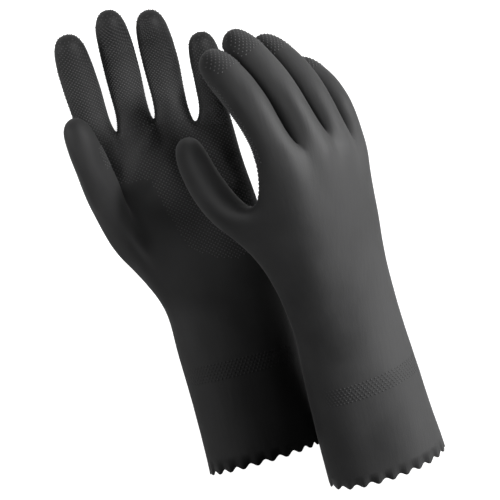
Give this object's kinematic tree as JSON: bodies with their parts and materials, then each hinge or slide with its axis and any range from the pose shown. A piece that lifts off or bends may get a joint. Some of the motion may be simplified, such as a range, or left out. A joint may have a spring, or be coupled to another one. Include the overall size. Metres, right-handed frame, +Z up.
{
  "type": "pair of rubber safety gloves",
  "caption": "Pair of long black dipped rubber gloves with scalloped cuffs and a flock lining, one palm up and the other back up across it.",
  "frame": {"origin": "on the table under the middle of the pair's outline", "axes": "+Y from the left glove's cuff to its fingertips, +Z up from the table, +X from the left glove to the right one"},
  "size_m": [0.1796, 0.328, 0.138],
  "materials": {
    "left_black_rubber": "matte",
    "left_cotton_flock": "flocked",
    "right_black_rubber": "matte",
    "right_cotton_flock": "flocked"
  },
  "bodies": {
    "left_glove": {"left_rubber_shell": "left_black_rubber", "left_flock_lining": "left_cotton_flock"},
    "right_glove": {"right_rubber_shell": "right_black_rubber", "right_flock_lining": "right_cotton_flock"}
  },
  "joints": [
    {"name": "right_glove_lift", "type": "slide", "parent": "left_glove", "child": "right_glove", "axis": [0, 0, 1], "range_m": [0, 0.25]}
  ]
}
